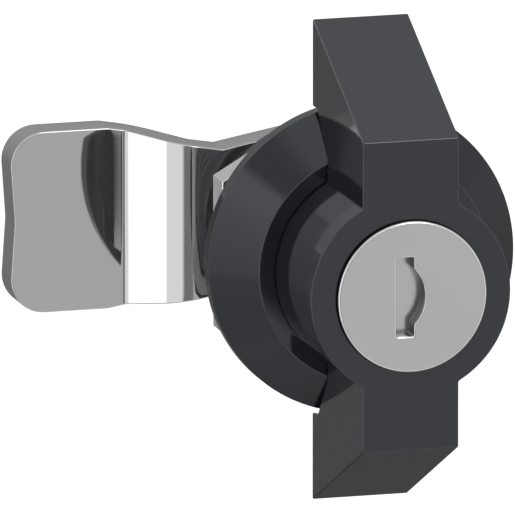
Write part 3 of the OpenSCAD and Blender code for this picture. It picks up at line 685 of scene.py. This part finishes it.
def keyhole_half():
    """Upper half of the keyhole from its left side: edge points and the directions into the metal."""
    r = KEY_EDGE_R
    meets = np.degrees(np.arctan2(BULGE_HALF, SLOT_RIGHT - BULGE_X))

    def arc(x, z, radius, start, end, steps):
        """Points centre + radius * m round (x, z), and the directions m."""
        m = in_plane(np.radians(np.linspace(start, end, steps)))
        return np.array([x, 0, z]) + radius * m, m

    def straight(start, end, angle, count):
        """Points from start to end, all with one direction."""
        return line(start, end, count), np.tile(in_plane(np.radians(angle)), (count, 1))

    corner = np.array([SLOT_RIGHT + r, 0, BULGE_HALF + r * np.sin(np.radians(meets))])
    turn = in_plane(np.radians(np.linspace(0, meets, TURN_POINTS)))
    highest = np.arctan((SLOT_HALF - r) / SLOT_MIDDLE_TO_LEFT)
    left_z = SLOT_MIDDLE_TO_LEFT * np.tan(np.linspace(0, highest, LEFT_POINTS))
    left = np.stack([np.full(LEFT_POINTS, SLOT_LEFT), np.zeros(LEFT_POINTS), left_z], axis=-1)
    parts = [(left, np.tile(in_plane(np.pi), (LEFT_POINTS, 1))),
             arc(SLOT_LEFT + r, SLOT_HALF - r, r, 180, 90, TURN_POINTS),
             straight([SLOT_LEFT + r, 0, SLOT_HALF], [SLOT_RIGHT - r, 0, SLOT_HALF], 90, TOP_POINTS),
             arc(SLOT_RIGHT - r, SLOT_HALF - r, r, 90, 0, TURN_POINTS),
             straight([SLOT_RIGHT, 0, SLOT_HALF - r], [SLOT_RIGHT, 0, corner[2]], 0, TURN_POINTS),
             (corner - r * turn, turn),
             arc(BULGE_X, 0, BULGE_R, meets - BULGE_GAP, 0, BULGE_POINTS)]
    return np.concatenate([p[0] for p in parts]), np.concatenate([p[1] for p in parts])


def disc_grids():
    """Keyhole wall, its rounded edge, the face, the rim and the back, closed in one ring."""
    half, into = keyhole_half()
    edge = np.concatenate([half, (half * [1, 1, -1])[::-1][1:]])
    into = np.concatenate([into, (into * [1, 1, -1])[::-1][1:]])
    middle = np.array([(SLOT_LEFT + SLOT_RIGHT) / 2, 0, 0])
    ray = edge - middle
    ray = ray / np.linalg.norm(ray, axis=1, keepdims=True)
    b = ray @ middle
    out = -b + np.sqrt(b ** 2 + (DISC_R - DISC_EDGE_R) ** 2 - middle @ middle)
    rim = middle + ray * out[:, None]
    rim_n = rim / np.linalg.norm(rim, axis=1, keepdims=True)
    back = DISC_FRONT + DISC_T
    lip = edge + KEY_EDGE_R * into
    key_front = rolled(at_depth(lip, DISC_FRONT + KEY_EDGE_R), -into, FRONT, KEY_EDGE_R, KEY_EDGE_STEPS)
    rim_front = rolled(at_depth(rim, DISC_FRONT + DISC_EDGE_R), FRONT, rim_n, DISC_EDGE_R)
    beside = [at_depth(inset(lip, -into, SUPPORT), DISC_FRONT),
              at_depth(rim - SUPPORT * rim_n, DISC_FRONT)]
    rows = [at_depth(edge, back)[None], key_front, np.stack(beside), rim_front,
            at_depth(rim + DISC_EDGE_R * rim_n, back)[None], at_depth(edge, back)[None]]
    return [np.concatenate(rows)]


piece("key_disc", disc_grids(), "plug", "satin_steel", stands_for=["plug_cap"])

# %% [markdown]
# ## Washers, rings and the screw behind the cam
# These are bought parts: stamped washers with broken edges, a rubber seal and a hexagon screw. Each
# is a closed profile turned round the axis, and the screw's head is the nut's hexagon again,
# chamfered on its outer face only.


# %% Turned rings
# Name, inner and outer radius, front, back, rounding, body, slot and the node that it replaces.
RINGS = [
    ("rosette_seal", 12.35, 14.45, -0.98, 0, 0.25, "housing", "seal_rubber", "door_seal"),
    ("thrust_ring", 5.65, 9.0, 15.75, 16.75, 0.12, "handle", "nut_steel", "thrust_washer"),
    ("screw_washer", 3.2, 6.25, 21.85, 23.1, 0.15, "handle", "screw_steel", "cam_washer"),
]
for name, inner, outer, y0, y1, rounding, body, slot, node in RINGS:
    middle = (inner + outer) / 2
    profile = rounded_profile([(middle, y0, 0), (outer, y0, rounding), (outer, y1, rounding),
                               (inner, y1, rounding), (inner, y0, rounding), (middle, y0, 0)])
    piece(name, [turned(profile, FULL_TURN)], body, slot, stands_for=[node])

# %% The hexagon screw
HEAD_HALF, HEAD_CIRCLE, HEAD_CORNER_R, CHAMFER_RUN = 5.0, 4.75, 0.1, np.tan(np.radians(30))
HEAD_BEARING, HEAD_TOP, UNDER_HEAD_R = 23.1, 27.1, 4
SCREW_R, SCREW_END, SCREW_FILLET, SCREW_END_R = 3.0, 12.9, 0.2, 0.4


def screw_grids():
    """Head with a turned outer face, bearing face and the shank inside the spindle. The turned face's
    cone cuts each flat where the hexagon's distance, less the face circle's, times the cone's run, has
    gone down."""
    angles = hexagon_columns(HEAD_HALF, HEAD_CORNER_R)
    r = hexagon(HEAD_HALF, angles, HEAD_CORNER_R)
    head = ring_rows([(0, HEAD_TOP), (HEAD_CIRCLE - SUPPORT, HEAD_TOP), (HEAD_CIRCLE, HEAD_TOP),
                      (r, HEAD_TOP - (r - HEAD_CIRCLE) * CHAMFER_RUN), (r, HEAD_BEARING)], angles)
    shank = rounded_profile([(UNDER_HEAD_R, HEAD_BEARING, 0), (SCREW_R, HEAD_BEARING, SCREW_FILLET),
                             (SCREW_R, SCREW_END, SCREW_END_R), (0, SCREW_END, 0)])
    return [np.concatenate([head, turned(shank, angles)])]


piece("cam_hexagon_screw", screw_grids(), "handle", "screw_steel", stands_for=["cam_screw"])

# %% [markdown]
# ## Finishes
# Each material is written with nodes that work in the object's own coordinates, so it stays on the
# piece from any side. Effects that several finishes share are node groups: a fine grain, and a
# slow cloudiness in the gloss, as every handled or rolled surface has.


# %% Node helpers
def new_group(name, inputs, outputs):
    """A shader node group with named float or vector sockets."""
    group = bpy.data.node_groups.new(name, "ShaderNodeTree")
    for socket, kind, value in inputs:
        made = group.interface.new_socket(name=socket, in_out="INPUT", socket_type=kind)
        if value is not None:
            made.default_value = value
    for socket, kind in outputs:
        group.interface.new_socket(name=socket, in_out="OUTPUT", socket_type=kind)
    return group, group.nodes.new("NodeGroupInput"), group.nodes.new("NodeGroupOutput")


def put(tree, kind, **values):
    """A node with its properties and inputs set by name."""
    node = tree.nodes.new(kind)
    for name, value in values.items():
        if name in node.inputs:
            node.inputs[name].default_value = value
        else:
            setattr(node, name, value)
    return node


def remap(tree, value, start, end, low=0.0, high=1.0, **settings):
    """The value carried from the range start to end on to the range low to high."""
    node = put(tree, "ShaderNodeMapRange", **settings)
    for name, number in zip(("From Min", "From Max", "To Min", "To Max"), (start, end, low, high)):
        node.inputs[name].default_value = number
    tree.links.new(value, node.inputs["Value"])
    return node.outputs["Result"]


def mixed(tree, mask, a, b):
    """The colour a where the mask is 0 and b where it is 1. Each is a socket or a plain colour."""
    node = put(tree, "ShaderNodeMix", data_type="RGBA")
    tree.links.new(mask, node.inputs["Factor"])
    for name, colour in (("A", a), ("B", b)):
        if isinstance(colour, tuple):
            node.inputs[name].default_value = (*colour, 1)
        else:
            tree.links.new(colour, node.inputs[name])
    return node.outputs["Result"]


def speckle_group():
    """Fine grain: two sizes of noise, the fine one as a height and the slow one as a mask."""
    group, start, end = new_group(
        "grain", [("Vector", "NodeSocketVector", None), ("Scale", "NodeSocketFloat", 4000.0),
                  ("Cloud Scale", "NodeSocketFloat", 120.0)],
        [("Height", "NodeSocketFloat"), ("Cloud", "NodeSocketFloat")])
    for scale, detail, result in (("Scale", 3, "Height"), ("Cloud Scale", 4, "Cloud")):
        noise = put(group, "ShaderNodeTexNoise", noise_dimensions="3D", Detail=detail)
        group.links.new(start.outputs["Vector"], noise.inputs["Vector"])
        group.links.new(start.outputs[scale], noise.inputs["Scale"])
        group.links.new(noise.outputs["Fac"], end.inputs[result])
    return group


GRAIN = speckle_group()
CLOUD_LOW, CLOUD_HIGH, CLOUD_SCALE = 0.3, 0.7, 120.0
BUMP_HEIGHT = 0.02 * MM


def painted_shade_between(tree, where, shade, colour, depth):
    """The shade colour, with painted shade: it falls to a share of the colour between two depths on Y,
    fading in at both, on walls set back from the front.
    """
    front, back, fade, share = depth
    place = put(tree, "ShaderNodeSeparateXYZ")
    inside = put(tree, "ShaderNodeMath", operation="MULTIPLY")
    tree.links.new(where, place.inputs[0])
    for i, (start, end) in enumerate([(front, front + fade), (back, back - fade)]):
        tree.links.new(remap(tree, place.outputs["Y"], start * MM, end * MM), inside.inputs[i])
    return mixed(tree, inside.outputs[0], shade, tuple(c * share for c in colour))


def finish(name, colour, metallic, roughness, spread, scale, bump, shift=0.03, ior=1.5, tint=(1, 1, 1),
           depth=None):
    """A surface whose colour and roughness drift with the slow noise and whose fine grain is a small
    bump. The colour runs from colour * (1 - shift) to colour * (1 + shift) as the noise goes from 0 to 1.
    The roughness runs from roughness - spread / 2 to roughness + spread / 2 as the noise goes from
    CLOUD_LOW to CLOUD_HIGH. Where depth is given as (front, back, fade, share), the colour between
    those two depths falls to that share of itself: painted shade on walls set back from the front."""
    material = bpy.data.materials.new(name)
    material.use_nodes = True
    tree = material.node_tree
    shader = tree.nodes["Principled BSDF"]
    shader.inputs["Metallic"].default_value = metallic
    shader.inputs["IOR"].default_value = ior
    shader.inputs["Specular Tint"].default_value = (*tint, 1)
    where = put(tree, "ShaderNodeTexCoord").outputs["Object"]
    grain = put(tree, "ShaderNodeGroup", node_tree=GRAIN)
    grain.inputs["Scale"].default_value = scale
    grain.inputs["Cloud Scale"].default_value = CLOUD_SCALE
    tree.links.new(where, grain.inputs["Vector"])
    cloud = grain.outputs["Cloud"]
    rough = remap(tree, cloud, CLOUD_LOW, CLOUD_HIGH, roughness - spread / 2, roughness + spread / 2)
    tree.links.new(rough, shader.inputs["Roughness"])
    shade = mixed(tree, cloud, tuple(c * (1 - shift) for c in colour),
                  tuple(min(1.0, c * (1 + shift)) for c in colour))
    if depth:
        shade = painted_shade_between(tree, where, shade, colour, depth)
    tree.links.new(shade, shader.inputs["Base Color"])
    relief = put(tree, "ShaderNodeBump", Strength=bump, Distance=BUMP_HEIGHT)
    tree.links.new(grain.outputs["Height"], relief.inputs["Height"])
    tree.links.new(relief.outputs["Normal"], shader.inputs["Normal"])
    return material


# %% [markdown]
# The moulded plastic is slate grey and nearly glossy. The thread and hidden faces have the same
# finish, because they come from the same mould.

# %% The finishes
FINISHES = {
    "slate_plastic": finish("slate_plastic", (0.0115, 0.012, 0.0148), 0, 0.06, 0.02, 3000, 0.05, ior=1.7,
                            tint=(0.88, 0.91, 1.0)),
    "seal_rubber": finish("seal_rubber", (0.012, 0.012, 0.013), 0, 0.6, 0.1, 2500, 0.5),
    "nut_steel": finish("nut_steel", (0.86, 0.86, 0.87), 0.96, 0.29, 0.03, 1800, 0.1),
    "zinc": finish("zinc", (0.55, 0.56, 0.57), 1, 0.35, 0.1, 1500, 0.5),
    "screw_steel": finish("screw_steel", (0.6, 0.6, 0.61), 1, 0.22, 0.06, 2000, 0.3),
    "cam_steel": finish("cam_steel", (0.57, 0.57, 0.57), 0.94, 0.03, 0.02, 1200, 0.03),
    # The disc's keyhole and rim walls, set back from its front, get painted shade: their colour falls to
    # 0.17 of itself.
    "satin_steel": finish("satin_steel", (0.66, 0.66, 0.66), 1, 0.2, 0.04, 5000, 0.2,
                          depth=(-20.24, -18.65, 0.12, 0.17)),
    "plug_brass": finish("plug_brass", (0.72, 0.56, 0.27), 1, 0.3, 0.08, 1800, 0.4),
}
slot_of = {s["node"]: s["material_slot"] for s in frame["record"]["subparts"]}
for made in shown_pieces():
    slot = made.get("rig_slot") or slot_of[made["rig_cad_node"]]
    made.data.materials.clear()
    made.data.materials.append(FINISHES[slot])

# %% [markdown]
# ## The studio
# Bright metal looks like what surrounds it, so the tones of the surroundings are worked out like a
# surface. A studio would set up white boards and dark cloths. Here a large tent round the object
# carries their tones, for reflections only, and each tone depends on the direction alone. In front
# it follows the angle to one axis: bright at a middling angle and darker near the axis. The middle,
# the left, the top and the bottom have curves of their own, and there is a bright strip high up, to
# the right of the middle. Behind, the tone follows the height, from dark to light, and is lighter
# at the left. A small bright spot, high up behind at the left, gives the hub its lighter patch.
# Diffuse light comes from the plain white world, and the floor is pale.


# %% The tent that metal and gloss reflect
# Each curve is a list of (place, tone). In front, the place is the cosine of the angle to TENT_AXIS,
# and behind it is the direction's Z. Each edge below is where a zone starts and where it is full.
TENT_AXIS, TENT_EDGE, TENT_STRENGTH = (0.266, -0.939, -0.22), (-0.07, 0.02), 4.0
SPOT_AXIS, SPOT_EDGE, SPOT_TONE = (-0.402, 0.573, 0.714), (0.96, 0.98), 1.6
LEFT_EDGE, MIDDLE_EDGE, SIDE_EDGE, RIGHT_EDGE = (-0.3, -0.6), (0.14, 0.04), (-0.5, -0.6), (0.5, 0.7)
STRIP_LEFT_EDGE, STRIP_RIGHT_EDGE = (0.1, 0.16), (0.45, 0.38)
HIGH_EDGE, LOW_EDGE = (0.25, 0.4), (-0.45, -0.6)
FRONT_TONES = [(-0.1, 0.18), (0.15, 0.3), (0.3, 0.7), (0.5, 1.2), (0.84, 1.2), (0.89, 0.35),
               (0.93, 0.35), (0.965, 0.62), (1.0, 0.62)]
HIGH_TONES = [(-0.1, 0.6), (0.12, 0.8), (0.25, 1.15), (0.84, 1.15), (0.89, 0.35), (0.965, 0.62),
              (1.0, 0.62)]
STRIP_TONES = [(0.1, 0.8), (0.2, 3.4), (0.84, 3.4), (0.89, 0.35), (0.965, 0.62), (1.0, 0.62)]
LOW_TONES = [(-0.1, 0.45), (0.35, 0.55), (0.55, 1.1), (0.84, 1.1), (0.89, 0.35), (0.965, 0.62),
             (1.0, 0.62)]
MIDDLE_TONES = [(-0.1, 0.95), (0.15, 1.15), (0.7, 1.15), (0.78, 0.22), (0.93, 0.25), (0.965, 0.62),
                (1.0, 0.62)]
SIDE_TONES = [(-0.1, 1.9), (0.09, 1.9), (0.15, 1.15), (0.7, 1.15), (0.78, 0.22), (0.93, 0.25),
              (1.0, 0.62)]
LEFT_TONES = [(-0.75, 0.33), (-0.5, 0.38), (-0.28, 0.48), (-0.24, 0.6), (0.2, 0.8), (0.45, 1.0),
              (0.58, 1.0), (0.66, 0.4), (1.0, 0.4)]
BACK_TONES = [(-0.6, 0.13), (-0.22, 0.2), (-0.05, 0.25), (0.12, 0.33), (0.4, 0.42), (0.9, 0.74)]


def tent_material():
    """Emission by direction from the middle: a curve for each zone, and soft steps from zone to zone."""
    material = bpy.data.materials.new("tent")
    material.use_nodes = True
    material.cycles.emission_sampling = "NONE"
    tree = material.node_tree
    tree.nodes.clear()
    where, away = put(tree, "ShaderNodeTexCoord"), put(tree, "ShaderNodeVectorMath", operation="NORMALIZE")
    axes = put(tree, "ShaderNodeSeparateXYZ")
    tree.links.new(where.outputs["Object"], away.inputs[0])
    tree.links.new(away.outputs[0], axes.inputs[0])
    x, z = axes.outputs["X"], axes.outputs["Z"]

    def step(value, edge):
        """A soft step t * t * (3 - 2 * t), with t from 0 to 1 between the edge's two places."""
        return remap(tree, value, *edge, interpolation_type="SMOOTHSTEP")

    def towards(axis):
        """The cosine of the angle between the direction and an axis."""
        dot = put(tree, "ShaderNodeVectorMath", operation="DOT_PRODUCT")
        dot.inputs[1].default_value = axis
        tree.links.new(away.outputs[0], dot.inputs[0])
        return dot.outputs["Value"]

    def curve(value, stops):
        """A colour ramp over (value + 1) / 2 through the stops, which holds tone / TENT_STRENGTH."""
        node = put(tree, "ShaderNodeValToRGB")
        elements = node.color_ramp.elements
        for i, (at, tone) in enumerate(stops):
            stop = elements[i] if i < 2 else elements.new((at + 1) / 2)
            stop.position, stop.color = (at + 1) / 2, (*[tone / TENT_STRENGTH] * 3, 1)
        tree.links.new(remap(tree, value, -1, 1), node.inputs["Fac"])
        return node.outputs["Color"]

    def zone(mask, rest, value, stops):
        """The rest, and the curve's tone where the mask is 1."""
        return mixed(tree, mask, rest, curve(value, stops))

    angle = towards(TENT_AXIS)
    behind = zone(step(x, LEFT_EDGE), curve(z, BACK_TONES), z, LEFT_TONES)
    before = zone(step(x, MIDDLE_EDGE), curve(angle, FRONT_TONES), angle, MIDDLE_TONES)
    before = zone(step(x, SIDE_EDGE), before, angle, SIDE_TONES)
    strip = put(tree, "ShaderNodeMath", operation="MULTIPLY")
    tree.links.new(step(x, STRIP_LEFT_EDGE), strip.inputs[0])
    tree.links.new(step(x, STRIP_RIGHT_EDGE), strip.inputs[1])
    high = mixed(tree, step(x, RIGHT_EDGE), curve(angle, HIGH_TONES), before)
    high = zone(strip.outputs[0], high, angle, STRIP_TONES)
    before = mixed(tree, step(z, HIGH_EDGE), before, high)
    before = zone(step(z, LOW_EDGE), before, angle, LOW_TONES)
    tone = mixed(tree, step(angle, TENT_EDGE), behind, before)
    spot_colour = (SPOT_TONE / TENT_STRENGTH,) * 3
    tone = mixed(tree, step(towards(SPOT_AXIS), SPOT_EDGE), tone, spot_colour)
    glow, out = put(tree, "ShaderNodeEmission"), put(tree, "ShaderNodeOutputMaterial")
    glow.inputs["Strength"].default_value = TENT_STRENGTH
    tree.links.new(tone, glow.inputs["Color"])
    tree.links.new(glow.outputs[0], out.inputs["Surface"])
    return material


def stage_piece(name, grid, material):
    """A floor or tent: a mesh that isn't part of the object."""
    mesh = grid_mesh(name, [grid])
    mesh.materials.append(material)
    made = add_object(name, mesh)
    return made


TENT_R, TENT_ROWS, TENT_COLUMNS = 9000, 25, 49
heights = np.linspace(-np.pi / 2, np.pi / 2, TENT_ROWS)
tent_profile = np.stack([TENT_R * np.cos(heights), TENT_R * np.sin(heights)], axis=-1)
tent_grid = turned(tent_profile, np.linspace(0, 2 * np.pi, TENT_COLUMNS))
tent = stage_piece("tent", tent_grid, tent_material())
tent.visible_camera = tent.visible_diffuse = tent.visible_shadow = tent.visible_transmission = False


# %% The floor and the white surroundings
FLOOR_Z, FLOOR_HALF, FLOOR_PAINT, FLOOR_LIFT = -60.0, 8000.0, 0.9, 0.25


def floor_material():
    """Pale floor that comes out white to the camera: its own diffuse colour, lifted a little for
    camera rays."""
    material = bpy.data.materials.new("floor")
    material.use_nodes = True
    tree = material.node_tree
    tree.nodes.clear()
    paint, lift = put(tree, "ShaderNodeBsdfDiffuse"), put(tree, "ShaderNodeEmission")
    paint.inputs["Color"].default_value = (FLOOR_PAINT, FLOOR_PAINT, FLOOR_PAINT, 1)
    path, total = put(tree, "ShaderNodeLightPath"), put(tree, "ShaderNodeAddShader")
    share, out = put(tree, "ShaderNodeMath", operation="MULTIPLY"), put(tree, "ShaderNodeOutputMaterial")
    share.inputs[1].default_value = FLOOR_LIFT
    tree.links.new(path.outputs["Is Camera Ray"], share.inputs[0])
    tree.links.new(share.outputs[0], lift.inputs["Strength"])
    tree.links.new(paint.outputs[0], total.inputs[0])
    tree.links.new(lift.outputs[0], total.inputs[1])
    tree.links.new(total.outputs[0], out.inputs["Surface"])
    return material


spread = np.linspace(-FLOOR_HALF, FLOOR_HALF, 2)
floor_grid = np.stack(np.meshgrid(spread, spread, [FLOOR_Z], indexing="ij"), axis=-1)[:, :, 0]
floor = stage_piece("floor", floor_grid, floor_material())
floor.visible_glossy = False

world = bpy.data.worlds.new("white_room")
bpy.context.scene.world = world
world.use_nodes = True
white = world.node_tree.nodes["Background"]
white.inputs["Color"].default_value = (1, 1, 1, 1)
white.inputs["Strength"].default_value = 1.0
print("stage:", tent.name, floor.name)

# %% [markdown]
# ## The view transform
# The picture is shown with the plain Standard view transform.

# %% The view transform
bpy.context.scene.view_settings.view_transform = "Standard"
